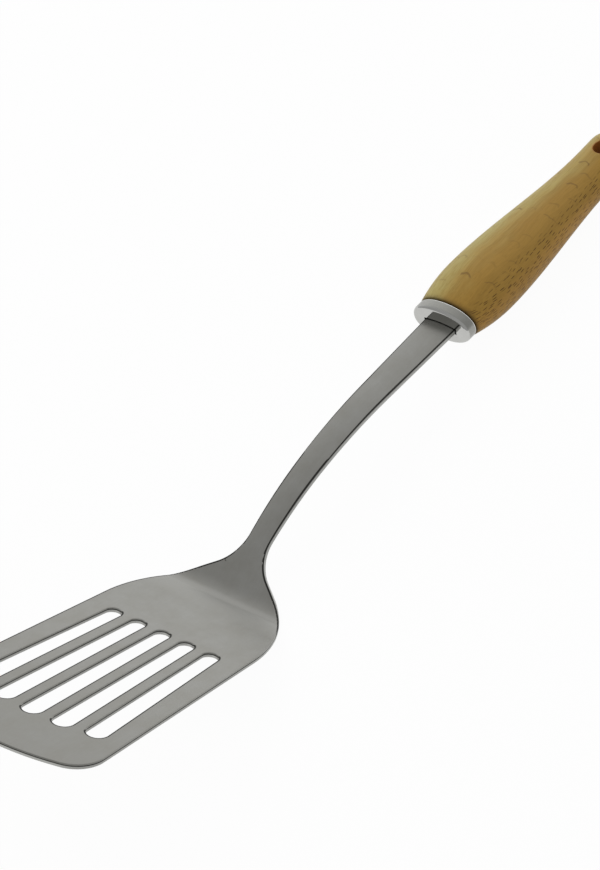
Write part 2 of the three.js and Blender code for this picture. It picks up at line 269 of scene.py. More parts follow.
def traceOutline(inset):  # half of the blank, from the middle of its front edge round to the end of the tang
    s = stamping
    flare, neck = math.radians(s["sideFlare"]), math.radians(s["neckAngle"])
    bowCentre = Vector((s["bladeLength"] - s["frontBow"], 0))
    sideStart = Vector((s["bladeLength"], s["frontWidth"] / 2))
    sideNormal, neckNormal = quarterTurn + flare, quarterTurn + neck
    sideway, neckway = heading(sideNormal + quarterTurn), heading(neckNormal + quarterTurn)
    neckEnd = Vector((-s["neckLength"], s["shankNeckWidth"] / 2))
    shankEnd = Vector((-s["shankLength"], s["shankFerruleWidth"] / 2))
    shankway = (shankEnd - neckEnd).normalized()
    shankNormal = math.atan2(shankway.y, shankway.x) - quarterTurn

    offset = sideStart - heading(sideNormal) * s["frontCorner"] - bowCentre
    along = offset.dot(sideway)
    reach = s["frontBow"] - s["frontCorner"]
    travel = -along - math.sqrt(along ** 2 - offset.length_squared + reach ** 2)
    corner = bowCentre + offset + sideway * travel
    cornerAngle = math.atan2(corner.y - bowCentre.y, corner.x - bowCentre.x)
    shoulder = lineMeet(sideStart - heading(sideNormal) * s["shoulder"], sideway,
                        neckEnd - heading(neckNormal) * s["shoulder"], neckway)
    fillet = lineMeet(neckEnd + heading(neckNormal) * s["neckFillet"], neckway,
                      neckEnd + heading(shankNormal) * s["neckFillet"], shankway)

    at = Vector((s["bladeLength"] - inset, 0))
    bpy.ops.transform.translate(value=at.to_3d())

    def arc(centre, angle):
        nonlocal at
        spinAbout(centre, angle, max(2, math.ceil(abs(math.degrees(angle)) / s["arcFacet"])))
        at = centre + Matrix.Rotation(angle, 2) @ (at - centre)

    def line(target):
        nonlocal at
        extrudeBy((target - at).to_3d())
        at = target

    arc(bowCentre, cornerAngle)
    arc(corner, sideNormal - cornerAngle)
    line(shoulder + heading(sideNormal) * (s["shoulder"] - inset))
    arc(shoulder, neckNormal - sideNormal)
    line(fillet - heading(neckNormal) * (s["neckFillet"] + inset))
    arc(fillet, shankNormal - neckNormal)
    stepStart = shankEnd.x - s["tangStepSetback"]
    tangEnd = shankEnd.x - s["tangLength"] + inset
    line(Vector((stepStart, shankEnd.y - inset)))
    line(Vector((stepStart - s["tangStep"], s["tangWidth"] / 2 - inset)))
    line(Vector((tangEnd, (s["tangWidth"] - s["tangTaper"]) / 2 - inset)))
    line(Vector((tangEnd, 0)))


def bridgeBorder(piece, first):  # faces of a border strip, whose inner loop guides the plate's filling
    setMode("OBJECT")
    group = piece.vertex_groups.new(name="guide")
    group.add(list(range(first, len(piece.data.vertices))), 1.0, "REPLACE")
    setMode("EDIT")
    selectMesh()
    bpy.ops.mesh.bridge_edge_loops()
    setMode("OBJECT")


def borderedOutline():
    piece = newPiece("blank")
    traceOutline(stamping["edgeTrim"])
    setMode("OBJECT")
    rimCount = len(piece.data.vertices)
    rim = sorted((v.co.x, v.co.y) for v in piece.data.vertices)
    setMode("EDIT")
    deselectMesh()
    bpy.ops.mesh.primitive_plane_add(size=1)
    bpy.ops.mesh.merge(type="CENTER")
    traceOutline(stamping["borderStrip"])
    bridgeBorder(piece, rimCount)
    applyModifier(piece, "MIRROR", use_axis=(False, True, False), merge_threshold=slack)
    return piece, rim


def addSlotLoop(piece, front, rear, frontRadius, rearRadius):  # a circle, whose rear half moves back
    facets = stamping["slotFacets"]
    deselectMesh()
    bpy.ops.mesh.primitive_circle_add(vertices=facets, radius=frontRadius, location=front)
    setMode("OBJECT")
    first = len(piece.data.vertices) - facets
    setMode("EDIT")
    selectWhere(piece, lambda vertex: vertex.index >= first and vertex.co.x < front.x - slack)
    bpy.ops.transform.resize(value=(rearRadius / frontRadius,) * 3, center_override=front)
    bpy.ops.transform.translate(value=rear - front)


def borderedSlot(number):
    s = stamping
    side = number - (s["slotCount"] - 1) / 2
    frontRadius, rearRadius = s["slotFrontWidth"] / 2, s["slotRearWidth"] / 2
    frontY = side * s["slotFrontPitch"]
    bow = s["frontBow"] - math.sqrt(s["frontBow"] ** 2 - frontY ** 2)
    front = Vector((s["bladeLength"] - bow - s["slotFrontLand"] - frontRadius, frontY, 0))
    rear = Vector((s["slotRearLand"] + rearRadius, side * s["slotRearPitch"], 0))
    piece = newPiece("slot")
    bpy.ops.mesh.delete(type="VERT")
    for grow in (0.0, s["borderStrip"]):
        addSlotLoop(piece, front, rear, frontRadius + grow, rearRadius + grow)
    bridgeBorder(piece, s["slotFacets"])
    return piece


def fillPlate(piece):  # faces between the border strips, all facing up
    setMode("EDIT")
    bpy.ops.mesh.select_mode(type="EDGE")
    deselectMesh()
    bpy.ops.object.vertex_group_set_active(group="guide")
    bpy.ops.object.vertex_group_select()
    bpy.ops.mesh.fill(use_beauty=True)
    faceOutwards()
    if sum(face.normal.z * face.area for face in piece.data.polygons) < 0:
        setMode("EDIT")
        bpy.ops.mesh.flip_normals()
        setMode("OBJECT")


def cutForBending(piece):  # rows of edges, where the sheet is going to bend and arch
    s = stamping
    bendSteps = round(s["heelAngle"] / s["bendFacet"])
    sweepSteps = round((lowerRun + upperRun) / s["sweepFacet"])
    rows = [-heelRun * k / bendSteps for k in range(bendSteps + 1)]
    rows += [-heelRun - (lowerRun + upperRun) * (k + 1) / sweepSteps for k in range(sweepSteps)]
    setMode("EDIT")
    bpy.ops.mesh.select_mode(type="VERT")
    for x in rows:
        selectMesh()
        bisectAt((x, 0, 0), (1, 0, 0))
    reach = int(s["shankFerruleWidth"] / 2 / s["crownFacet"])
    for k in range(-reach, reach + 1):
        selectWhere(piece, lambda vertex: vertex.co.x < slack - heelRun)
        bisectAt((0, k * s["crownFacet"], 0), (0, 1, 0))
    selectMesh()
    bpy.ops.mesh.remove_doubles(threshold=s["weld"])
    setMode("OBJECT")


def rimWidthAt(rim, x):  # half width of the blank, from the traced edge
    for (x0, y0), (x1, y1) in zip(rim, rim[1:]):
        if x0 <= x <= x1 and x1 > x0:
            return y0 + (y1 - y0) * (x - x0) / (x1 - x0)
    return rim[0][1]


def archAndBend(piece, rim):
    for vertex in piece.data.vertices:
        point = vertex.co.copy()
        rise = smoothStep((-point.x - heelRun) / stamping["crownRun"])
        if rise > 0:
            share = point.y / max(rimWidthAt(rim, point.x), abs(point.y), slack)
            point.z += stamping["shankCrown"] * rise * (1 - share ** 2)
        vertex.co = bent(point)


def edgeDepths(piece):  # flat blank: 0 at the line under an edge's lip, the thickness at its foot
    s = stamping
    for vertex in piece.data.vertices:
        if abs(vertex.normal.z) > s["flatNormal"]:
            yield s["thickness"] + s["faceReach"] if vertex.co.z < 0 else -s["faceReach"]
        else:
            onBlade = smoothStep((vertex.co.x / s["rolloverRun"] + 1) / 2)
            facing = vertex.normal.xy.normalized()
            lip = s["rollover"] * onBlade * smoothStep((facing.x + facing.y) / s["rolloverTurn"])
            depth = s["thickness"] / 2 - vertex.co.z
            yield (depth - lip) * s["thickness"] / (s["thickness"] - lip)


def noteSheet(piece):  # what the metal's finish follows: the blank's own flat coordinates, and its edges
    depths = list(edgeDepths(piece))
    piece.data.attributes.new("edgeDepth", "FLOAT", "POINT").data.foreach_set("value", depths)
    for layer in list(piece.data.uv_layers):
        piece.data.uv_layers.remove(layer)
    places = piece.data.uv_layers.new(name="sheet").data
    for loop, place in zip(piece.data.loops, places):
        place.uv = piece.data.vertices[loop.vertex_index].co.xy


def makeBladeStamping():
    blank, rim = borderedOutline()
    slots = [borderedSlot(number) for number in range(stamping["slotCount"])]
    deselectAll()
    for piece in (*slots, blank):
        piece.select_set(True)
    bpy.context.view_layer.objects.active = blank
    bpy.ops.object.join()
    blank.name = "bladeStamping"
    fillPlate(blank)
    applyModifier(blank, "SOLIDIFY", thickness=stamping["thickness"], offset=0, use_even_offset=True)
    roundEdges(blank, stamping["edgeRound"], stamping["edgeSteps"])
    blank.vertex_groups.clear()
    cutForBending(blank)
    noteSheet(blank)
    archAndBend(blank, rim)
    bringToPlace(blank, bladePlace())
    smoothOver(blank, stamping["smoothing"])
    return blank


# Ferrule cap, in the frame of its front face, running to -X

cap = {
    "ovalPower": 2.15,  # 2 is an ellipse, more is squarer; the handle takes the same oval
    "ovalFacets": 128,
    "size": (25.8, 14.6),  # width and height
    "length": 5.2,
    "wall": 0.9,
    "edge": 1.4,  # rounding of the front edge
    "edgeSteps": 8,
    "rim": 0.65,  # rounding of the rear outer edge
    "rimSteps": 5,
    "rimSlack": 0.01,  # how near to the rear and to the oval a vertex of that edge lies
    "lip": 0.18,  # rounding of the edges that are still sharp
    "lipSteps": 3,
    "slotFit": 0.35,  # play around the shank
    "slotDepth": 3.6,  # through the front wall and clear of it
    "slotSteps": 24,
    "smoothing": 30,
}


def gripPlace():
    seat = bent(Vector((-stamping["shankLength"], 0, stamping["shankCrown"] / 2)))
    turn = Matrix.Rotation(math.radians(stamping["handleRise"]), 4, "Y")
    return bladePlace() @ Matrix.Translation(seat * mm) @ turn


def newOval(name, setback, halfWidth, halfHeight):  # one loop of edges, left selected in edit mode
    deselectAll()
    bpy.ops.mesh.primitive_circle_add(vertices=cap["ovalFacets"], radius=1, rotation=(0, quarterTurn, 0))
    piece = bpy.context.object
    piece.name = name
    applyPlace()
    power = 2 / cap["ovalPower"]
    for vertex in piece.data.vertices:
        y, z = vertex.co.y, vertex.co.z
        vertex.co.x = -setback
        vertex.co.y = math.copysign(abs(y) ** power, y) * halfWidth
        vertex.co.z = math.copysign(abs(z) ** power, z) * halfHeight
    setMode("EDIT")
    selectMesh()
    return piece


def extrudeRings(rings):  # each ring is a setback, a half width and a half height
    for (s0, w0, h0), (s1, w1, h1) in zip(rings, rings[1:]):
        extrudeBy((s0 - s1, 0, 0))
        bpy.ops.transform.resize(value=(1, w1 / w0, h1 / h0), center_override=(-s1, 0, 0))


def onRearRim(vertex):  # the cap's outer edge at the rear
    halfWidth, halfHeight = (side / 2 for side in cap["size"])
    reach = (abs(vertex.co.y / halfWidth) ** cap["ovalPower"]
             + abs(vertex.co.z / halfHeight) ** cap["ovalPower"])
    return vertex.co.x < cap["rimSlack"] - cap["length"] and reach > 1 - cap["rimSlack"]


def shankCutter():  # the shank's arched section, grown by the play in the cap's slot
    fit, steps = cap["slotFit"], cap["slotSteps"]
    halfWidth = stamping["shankFerruleWidth"] / 2 + fit
    cutter = newBlock((cap["slotDepth"], 2 * halfWidth, stamping["thickness"] + 2 * fit), 0)
    setMode("EDIT")
    for k in range(1, steps):
        selectMesh()
        bisectAt((0, halfWidth * (2 * k / steps - 1), 0), (0, 1, 0))
    setMode("OBJECT")
    for vertex in cutter.data.vertices:
        share = vertex.co.y / halfWidth
        vertex.co.z += stamping["shankCrown"] * (0.5 - share ** 2)
    return cutter


def makeFerruleCap():
    halfWidth, halfHeight = (side / 2 for side in cap["size"])
    rings = [(cap["length"], halfWidth, halfHeight)]
    for k in range(cap["edgeSteps"] + 1):
        angle = quarterTurn * k / cap["edgeSteps"]
        inset = cap["edge"] * (1 - math.cos(angle))
        rings.append((cap["edge"] * (1 - math.sin(angle)), halfWidth - inset, halfHeight - inset))
    piece = newOval("ferruleCap", *rings[0])
    extrudeRings(rings)
    closeLoop()
    faceOutwards()
    applyModifier(piece, "SOLIDIFY", thickness=cap["wall"], offset=-1, use_even_offset=True)
    setMode("EDIT")
    bpy.ops.mesh.select_mode(type="VERT")
    selectWhere(piece, onRearRim)
    bpy.ops.mesh.bevel(offset=cap["rim"], segments=cap["rimSteps"], affect="EDGES")
    setMode("OBJECT")
    roundEdges(piece, cap["lip"], cap["lipSteps"])
    cutAway(piece, shankCutter())
    bringToPlace(piece, gripPlace())
    smoothOver(piece, cap["smoothing"])
    return piece


# Beech handle, in the cap's frame; pairs are width and height

handle = {
    "fitGap": 0.3,  # to the cap and to the adhesive
    "spigotFront": 2.3,  # from the cap's front face, as is the pocket's end
    "length": 117.0,  # from the cap's rear, as is the bulge's setback
    "shoulderProud": 0.05,
    "shoulderBreak": 0.5,
    "shoulderSteps": 4,
    "bulgeSetback": 21.0,
    "bulge": (31.0, 20.26),
    "waistEndDistance": 20.0,
    "waist": (20.3, 14.07),
    "butt": (22.1, 14.07),
    "buttRounding": 11.0,
    "buttSteps": 16,
    "buttPower": 4.0,  # 2 is round in plan, more is squarer
    "buttEnd": 83.5,  # degrees round the butt, then a small flat
    "gripSteps": 64,
    "holeEndDistance": 13.5,
    "holeDiameter": 8.0,
    "holeRim": 0.8,
    "holeRimSteps": 6,
    "holeFacets": 64,
    "pocketEnd": 77.1,
    "pocket": (13.4, 6.1),
    "rayAngle": 4.0,  # degrees up from +Y: the side of the handle that shows the wood's rays end-on
    "smoothing": 40,
}


def gripHalf(setback, side):  # half of the grip's width (side 0) or height (side 1)
    h = handle
    shoulder = cap["size"][side] + 2 * h["shoulderProud"]
    bulge, waist, butt = h["bulge"][side], h["waist"][side], h["butt"][side]
    waistSetback = h["length"] - h["waistEndDistance"]
    swell = max(0.0, 1 - setback / h["bulgeSetback"]) ** 2
    taper = smoothStep((setback - h["bulgeSetback"]) / (waistSetback - h["bulgeSetback"]))
    flare = max(0.0, (setback - waistSetback) / h["waistEndDistance"]) ** 2
    return (bulge - (bulge - shoulder) * swell - (bulge - waist) * taper + (butt - waist) * flare) / 2


def gripRing(setback, scales=(1.0, 1.0), inset=0.0):
    halves = [(gripHalf(setback, side) - inset) * scales[side] for side in (0, 1)]
    return cap["length"] + setback, *halves


def handleRings():
    h = handle
    spigot = [side / 2 - cap["wall"] - h["fitGap"] for side in cap["size"]]
    rings = [(h["spigotFront"], *spigot), (cap["length"] + h["fitGap"], *spigot)]
    for k in range(h["shoulderSteps"] + 1):
        angle = quarterTurn * k / h["shoulderSteps"]
        setback = h["fitGap"] + h["shoulderBreak"] * (1 - math.cos(angle))
        rings.append(gripRing(setback, inset=h["shoulderBreak"] * (1 - math.sin(angle))))
    start = h["fitGap"] + h["shoulderBreak"]
    run = h["length"] - h["buttRounding"] - start
    rings += [gripRing(start + run * (k + 1) / h["gripSteps"]) for k in range(h["gripSteps"])]
    for k in range(h["buttSteps"]):
        angle = math.radians(h["buttEnd"]) * (k + 1) / h["buttSteps"]
        setback = h["length"] - h["buttRounding"] * (1 - math.sin(angle))
        inPlan = (1 - math.sin(angle) ** h["buttPower"]) ** (1 / h["buttPower"])
        rings.append(gripRing(setback, (inPlan, math.cos(angle))))
    return rings


def pocketCutter():
    length = handle["pocketEnd"] - handle["spigotFront"] + handle["fitGap"]
    return newBlock((length, *handle["pocket"]), -handle["pocketEnd"] + length / 2)


def holeCutter():  # a spool whose flared ends leave the hole's rims rounded
    h = handle
    setback = h["length"] - h["holeEndDistance"]
    surface = gripHalf(setback, 1)
    radius, rim = h["holeDiameter"] / 2, h["holeRim"]
    profile = [(radius, 0.0)]
    for k in range(h["holeRimSteps"] + 1):
        angle = quarterTurn * k / h["holeRimSteps"]
        profile.append((radius + rim * (1 - math.cos(angle)), surface - rim * (1 - math.sin(angle))))
    profile.append((radius + 2 * rim, surface + rim))
    deselectAll()
    bpy.ops.mesh.primitive_circle_add(vertices=h["holeFacets"], radius=radius)
    cutter = bpy.context.object
    setMode("EDIT")
    selectMesh()
    for (r0, z0), (r1, z1) in zip(profile, profile[1:]):
        extrudeBy((0, 0, z1 - z0))
        bpy.ops.transform.resize(value=(r1 / r0, r1 / r0, 1), center_override=(0, 0, z1))
    closeLoop()
    setMode("OBJECT")
    applyModifier(cutter, "MIRROR", use_axis=(False, False, True), merge_threshold=slack)
    setMode("EDIT")
    faceOutwards()
    cutter.location.x = -cap["length"] - setback
    applyPlace()
    return cutter


def noteRays(piece):  # 1 where the wood's rays come straight out of the surface, 0 where they lie in it
    facing = piece.data.attributes.new("rayFacing", "FLOAT", "POINT")
    angle = math.radians(handle["rayAngle"])
    ray = Vector((0, math.cos(angle), math.sin(angle)))
    for vertex, value in zip(piece.data.vertices, facing.data):
        value.value = abs(vertex.normal.dot(ray))


def makeBeechHandle():
    rings = handleRings()
    front = -rings[0][0]
    piece = newOval("beechHandle", *rings[0])
    extrudeRings(rings)
    closeLoop()
    bpy.ops.mesh.select_mode(type="VERT")
    selectWhere(piece, lambda vertex: vertex.co.x > front - slack)
    closeLoop()
    faceOutwards()
    cutAway(piece, pocketCutter())
    cutAway(piece, holeCutter())
    noteRays(piece)
    bringToPlace(piece, gripPlace())
    smoothOver(piece, handle["smoothing"])
    return piece


bladeStamping = makeBladeStamping()
print("blade stamping:", len(bladeStamping.data.polygons), "faces")
ferruleCap = makeFerruleCap()
print("ferrule cap:", len(ferruleCap.data.polygons), "faces")
beechHandle = makeBeechHandle()
print("beech handle:", len(beechHandle.data.polygons), "faces")


# Materials, with their sizes in millimetres

def hexColor(text):  # sRGB hex to linear
    values = [int(text[k:k + 2], 16) / 255 for k in (1, 3, 5)]
    linear = [v / 12.92 if v <= 0.04045 else ((v + 0.055) / 1.055) ** 2.4 for v in values]
    return (*linear, 1.0)


def addNode(tree, kind, settings, sockets):
    node = tree.nodes.new(kind)
    for name, value in settings.items():
        setattr(node, name, value)
    for name, value in sockets.items():
        if isinstance(value, bpy.types.NodeSocket):
            tree.links.new(value, node.inputs[name])
        else:
            node.inputs[name].default_value = value
    return node


def newMaterial(name):
    material = bpy.data.materials.new(name)
    material.use_nodes = True
    tree = material.node_tree
    tree.nodes.clear()
    return material, tree


def finishMaterial(tree, shader):
    addNode(tree, "ShaderNodeOutputMaterial", {}, {"Surface": shader.outputs[0]})


def millimetres(tree, place):  # coordinates in a piece's own frame
    coords = addNode(tree, "ShaderNodeTexCoord", {}, {})
    return addNode(tree, "ShaderNodeMapping", {"vector_type": "TEXTURE"}, {
        "Vector": coords.outputs["Object"],
        "Location": place.to_translation(),
        "Rotation": place.to_euler(),
        "Scale": (mm, mm, mm),
    }).outputs["Vector"]


satin = {
    "cloud": 11.0,
    "streak": (20.0, 0.5),  # length, and width, coarsened so that it shows
    "streakDepth": 0.02,
    "hairline": (14.0, 0.35),  # coarsened too
    "hairlineTurn": 34.0,  # degrees off the brushing
    "scuffStart": 0.3,  # share of the blade's length
    "scuffMost": 0.3,
    "drawnLitReach": 10.0,
    "drawnLitStops": (  # place ahead of the heel bend's start, and share
        (-4.3, 0.0), (-2.6, 0.42), (-0.8, 0.42), (0.0, 0.62), (3.0, 0.42), (9.0, 0.0)),
    "drawnRoughness": 0.15,
    "edgeReach": 1.0,
    "lipStops": (  # depth down the edge, and shares of the dark line (painted shade) and the bright wall
        (-0.55, 0.0, 0.0), (-0.3, 0.9, 0.0), (0.1, 0.9, 0.0), (0.35, 0.0, 1.0)),
    "footStops": (  # the same, with the depth counted from the wall's foot
        (-0.4, 0.0, 1.0), (-0.2, 0.4, 0.0), (0.1, 0.4, 0.0), (0.6, 0.0, 0.0)),
}


def satinStainless():
    # Rolled sheet, brushed along its length and tumbled: an even satin grey with faint clouds and streaks and
    # a few hairline scratches across them, a little darker where the blade is scuffed towards its front.
    # Along every sheared edge a bright burnished wall runs between two dark lines of painted shade, and near
    # the heel's bend the plate is painted lighter, as painted light.
    material, tree = newMaterial("satinStainless")
    sheet = addNode(tree, "ShaderNodeUVMap", {"uv_map": "sheet"}, {}).outputs[0]
    cloud = addNode(tree, "ShaderNodeTexNoise", {}, {
        "Vector": sheet, "Scale": 1 / satin["cloud"], "Detail": 6.0, "Roughness": 0.62})
    clouded = addNode(tree, "ShaderNodeMapRange", {}, {
        "Value": cloud.outputs["Fac"], "From Min": 0.3, "From Max": 0.7})
    length, width = satin["streak"]
    along = addNode(tree, "ShaderNodeMapping", {}, {"Vector": sheet, "Scale": (1 / length, 1 / width, 1)})
    streak = addNode(tree, "ShaderNodeTexNoise", {}, {
        "Vector": along.outputs[0], "Scale": 1.0, "Detail": 3.0})
    worn = addNode(tree, "ShaderNodeMapRange", {}, {
        "Value": streak.outputs["Fac"], "From Min": 0.3, "From Max": 0.7, "To Min": 0.09, "To Max": 0.0})
    length, width = satin["hairline"]
    turned = addNode(tree, "ShaderNodeMapping", {}, {
        "Vector": sheet, "Rotation": (0, 0, math.radians(satin["hairlineTurn"])),
        "Scale": (1 / length, 1 / width, 1)})
    hairs = addNode(tree, "ShaderNodeTexNoise", {}, {
        "Vector": turned.outputs[0], "Scale": 1.0, "Detail": 1.0})
    scratch = addNode(tree, "ShaderNodeMapRange", {}, {
        "Value": hairs.outputs["Fac"], "From Min": 0.7, "From Max": 0.8, "To Max": 0.35})
    ahead = addNode(tree, "ShaderNodeSeparateXYZ", {}, {"Vector": sheet}).outputs["X"]
    scuff = addNode(tree, "ShaderNodeMapRange", {"interpolation_type": "SMOOTHSTEP"}, {
        "Value": ahead, "From Min": stamping["bladeLength"] * satin["scuffStart"],
        "From Max": stamping["bladeLength"], "To Max": satin["scuffMost"]})
    # stretched as it was bent round the heel: a little rougher, and painted lighter up to where the bend
    # starts, as painted light that offsets the neck's darker reflection in the plate
    reach = satin["drawnLitReach"]
    nearBend = addNode(tree, "ShaderNodeMapRange", {}, {
        "Value": ahead, "From Min": -reach, "From Max": reach})
    drawnAndLit = addNode(tree, "ShaderNodeValToRGB", {}, {0: nearBend.outputs[0]})
    drawnAndLit.color_ramp.elements[-1].color = hexColor("#000000")
    for place, share in satin["drawnLitStops"]:
        stop = drawnAndLit.color_ramp.elements.new((place + reach) / (2 * reach))
        stop.color = (share, share, share, 1.0)
    # the sheared edge: a bright burnished wall between two dark lines of painted shade, which stand in for
    # the dark reflections along the arris and at the foot
    thickness, reach = stamping["thickness"], satin["edgeReach"]
    edge = addNode(tree, "ShaderNodeAttribute", {"attribute_name": "edgeDepth"}, {})
    downEdge = addNode(tree, "ShaderNodeMapRange", {}, {
        "Value": edge.outputs["Fac"], "From Min": -reach, "From Max": thickness + reach})
    wall = addNode(tree, "ShaderNodeValToRGB", {}, {0: downEdge.outputs[0]})
    wall.color_ramp.elements[-1].color = hexColor("#000000")
    for start, stops in ((0.0, satin["lipStops"]), (thickness, satin["footStops"])):
        for depth, dark, bright in stops:
            stop = wall.color_ramp.elements.new((start + depth + reach) / (thickness + 2 * reach))
            stop.color = (dark, bright, 0.0, 1.0)
    shares = addNode(tree, "ShaderNodeSeparateColor", {}, {"Color": wall.outputs["Color"]})
    color = addNode(tree, "ShaderNodeMix", {"data_type": "RGBA"}, {
        0: clouded.outputs[0], 6: hexColor("#a3a29c"), 7: hexColor("#b4b4b0")}).outputs[2]
    for share, tint in (
        (worn.outputs[0], "#8b8b86"),
        (scuff.outputs[0], "#8b8a85"),
        # painted light: the plate is lighter near the heel's bend
        (drawnAndLit.outputs[0], "#d0d0cc"),
        (scratch.outputs[0], "#c8c8c4"),
        (shares.outputs["Green"], "#b6b6b2"),
        # painted shade: the dark lines along the arris and at the foot
        (shares.outputs["Red"], "#1c1c19"),
    ):
        color = addNode(tree, "ShaderNodeMix", {"data_type": "RGBA"}, {
            0: share, 6: color, 7: hexColor(tint)}).outputs[2]
    gloss = addNode(tree, "ShaderNodeMapRange", {}, {
        "Value": cloud.outputs["Fac"], "From Min": 0.3, "From Max": 0.7, "To Min": 0.44, "To Max": 0.5})
    rough = addNode(tree, "ShaderNodeMath", {"operation": "MULTIPLY_ADD"}, {
        0: drawnAndLit.outputs[0], 1: satin["drawnRoughness"], 2: gloss.outputs[0]})
    grain = addNode(tree, "ShaderNodeTangent", {"direction_type": "UV_MAP", "uv_map": "sheet"}, {})
    bump = addNode(tree, "ShaderNodeBump", {}, {
        "Height": streak.outputs["Fac"], "Strength": 0.1, "Distance": satin["streakDepth"] * mm})
    shader = addNode(tree, "ShaderNodeBsdfPrincipled", {}, {
        "Base Color": color, "Metallic": 1.0, "Roughness": rough.outputs[0],
        "Anisotropic": 0.9, "Anisotropic Rotation": 0.25,  # brushed lengthwise, so it spreads light crosswise
        "Tangent": grain.outputs[0], "Normal": bump.outputs["Normal"]})
    finishMaterial(tree, shader)
    return material


polish = {
    "haze": 5.0,
    "rimHighlightSpan": (0.7, 1.2),  # where the painted highlight on the rear rim starts to fade and ends, in roundings of the rear edge
    "buffMark": (0.3, 9.0),  # width, coarsened so that it shows, and length round the cap
    "buffDepth": 0.01,
}


def polishedStainless():
    # Pressed, then buffed on a wheel: the face is a mirror with a faint haze, and the wall behind it is a
    # little rougher and painted darker (painted shade), with fine marks that run round the cap and a painted
    # highlight along the rear rim.
    material, tree = newMaterial("polishedStainless")
    place = millimetres(tree, gripPlace())
    haze = addNode(tree, "ShaderNodeTexNoise", {}, {
        "Vector": place, "Scale": 1 / polish["haze"], "Detail": 4.0})
    bright = addNode(tree, "ShaderNodeMix", {"data_type": "RGBA"}, {
        0: haze.outputs["Fac"], 6: hexColor("#b5b5b2"), 7: hexColor("#c2c2bf")})
    # painted shade: the wall's tone is darker than the face's
    dullShaded = addNode(tree, "ShaderNodeMix", {"data_type": "RGBA"}, {
        0: haze.outputs["Fac"], 6: hexColor("#94948f"), 7: hexColor("#a0a09b")})
    back = addNode(tree, "ShaderNodeSeparateXYZ", {}, {"Vector": place}).outputs["X"]
    wall = addNode(tree, "ShaderNodeMapRange", {"interpolation_type": "SMOOTHSTEP"}, {
        "Value": back, "From Min": -cap["edge"], "From Max": -cap["edge"] / 2, "To Min": 1.0, "To Max": 0.0})
    # painted highlight: a near-white band along the cap's rear rim
    highlightFull, highlightEnd = (cap["rim"] * span - cap["length"] for span in polish["rimHighlightSpan"])
    rim = addNode(tree, "ShaderNodeMapRange", {"interpolation_type": "SMOOTHSTEP"}, {
        "Value": back, "From Min": highlightFull, "From Max": highlightEnd, "To Min": 1.0, "To Max": 0.0})
    plain = addNode(tree, "ShaderNodeMath", {"operation": "SUBTRACT", "use_clamp": True}, {
        0: wall.outputs[0], 1: rim.outputs[0]})
    tone = addNode(tree, "ShaderNodeMix", {"data_type": "RGBA"}, {
        0: plain.outputs[0], 6: bright.outputs[2], 7: dullShaded.outputs[2]})
    rimHighlighted = addNode(tree, "ShaderNodeMix", {"data_type": "RGBA"}, {
        0: rim.outputs[0], 6: tone.outputs[2], 7: hexColor("#f2f2ef")})
    width, length = polish["buffMark"]
    circling = addNode(tree, "ShaderNodeMapping", {}, {
        "Vector": place, "Scale": (1 / width, 1 / length, 1 / length)})
    marks = addNode(tree, "ShaderNodeTexNoise", {}, {
        "Vector": circling.outputs[0], "Scale": 1.0, "Detail": 2.0})
    gloss = addNode(tree, "ShaderNodeMapRange", {}, {
        "Value": plain.outputs[0], "To Min": 0.09, "To Max": 0.3})
    bump = addNode(tree, "ShaderNodeBump", {}, {
        "Height": marks.outputs["Fac"], "Strength": 0.1, "Distance": polish["buffDepth"] * mm})
    shader = addNode(tree, "ShaderNodeBsdfPrincipled", {}, {
        "Base Color": rimHighlighted.outputs[2], "Metallic": 1.0, "Roughness": gloss.outputs[0],
        "Normal": bump.outputs["Normal"]})
    finishMaterial(tree, shader)
    return material


beech = {  # a pair is along the grain and across it
    "wander": 16.0,  # waves of the grain, and how far they carry it
    "wanderDrift": (4.0, 1.5, 4.0),
    "patch": (20.0, 9.0),
    "patchDrift": 14.0,
    "yellowLitFrom": -4.0,  # along the rays: yellow, paler wood up to here, partly painted light of the -Y side
    "yellowLitTo": 14.0,  # and brown wood beyond here
    "ringPitch": 2.6,
    "fibre": (14.0, 0.4),  # the width is coarsened so that it shows
    "rayPitch": (3.6, 0.8),
    "rayHalfSize": (1.3, 0.095),
    "flakePitch": (7.0, 6.0),  # along the grain and along the rays
    "flakeHalfSize": (2.0, 2.6),
    "flakeBow": 0.8,  # radius of a flake's arc, in half sizes
    "crook": 4.0,  # kinks of the flakes, and how far they carry them
    "crookDrift": 3.5,
    "shoulderShade": 3.5,  # depth of the painted shade behind the cap
    "poreDepth": 0.05,
}


def scatterMarks(tree, place, pitch, half):  # for a mark in each cell: offset and reach in half sizes, chance
    cells = addNode(tree, "ShaderNodeVectorMath", {"operation": "DIVIDE"}, {0: place, 1: (*pitch, 1)})
    spots = addNode(tree, "ShaderNodeTexVoronoi", {"voronoi_dimensions": "2D"}, {
        "Vector": cells.outputs[0], "Scale": 1.0, "Randomness": 0.9})
    away = addNode(tree, "ShaderNodeVectorMath", {"operation": "SUBTRACT"}, {
        0: cells.outputs[0], 1: spots.outputs["Position"]})
    shape = addNode(tree, "ShaderNodeVectorMath", {"operation": "MULTIPLY"}, {
        0: away.outputs[0], 1: (pitch[0] / half[0], pitch[1] / half[1], 0)})
    reach = addNode(tree, "ShaderNodeVectorMath", {"operation": "LENGTH"}, {0: shape.outputs[0]})
    chance = addNode(tree, "ShaderNodeSeparateColor", {}, {"Color": spots.outputs["Color"]})
    return shape.outputs[0], reach.outputs["Value"], chance.outputs["Red"]


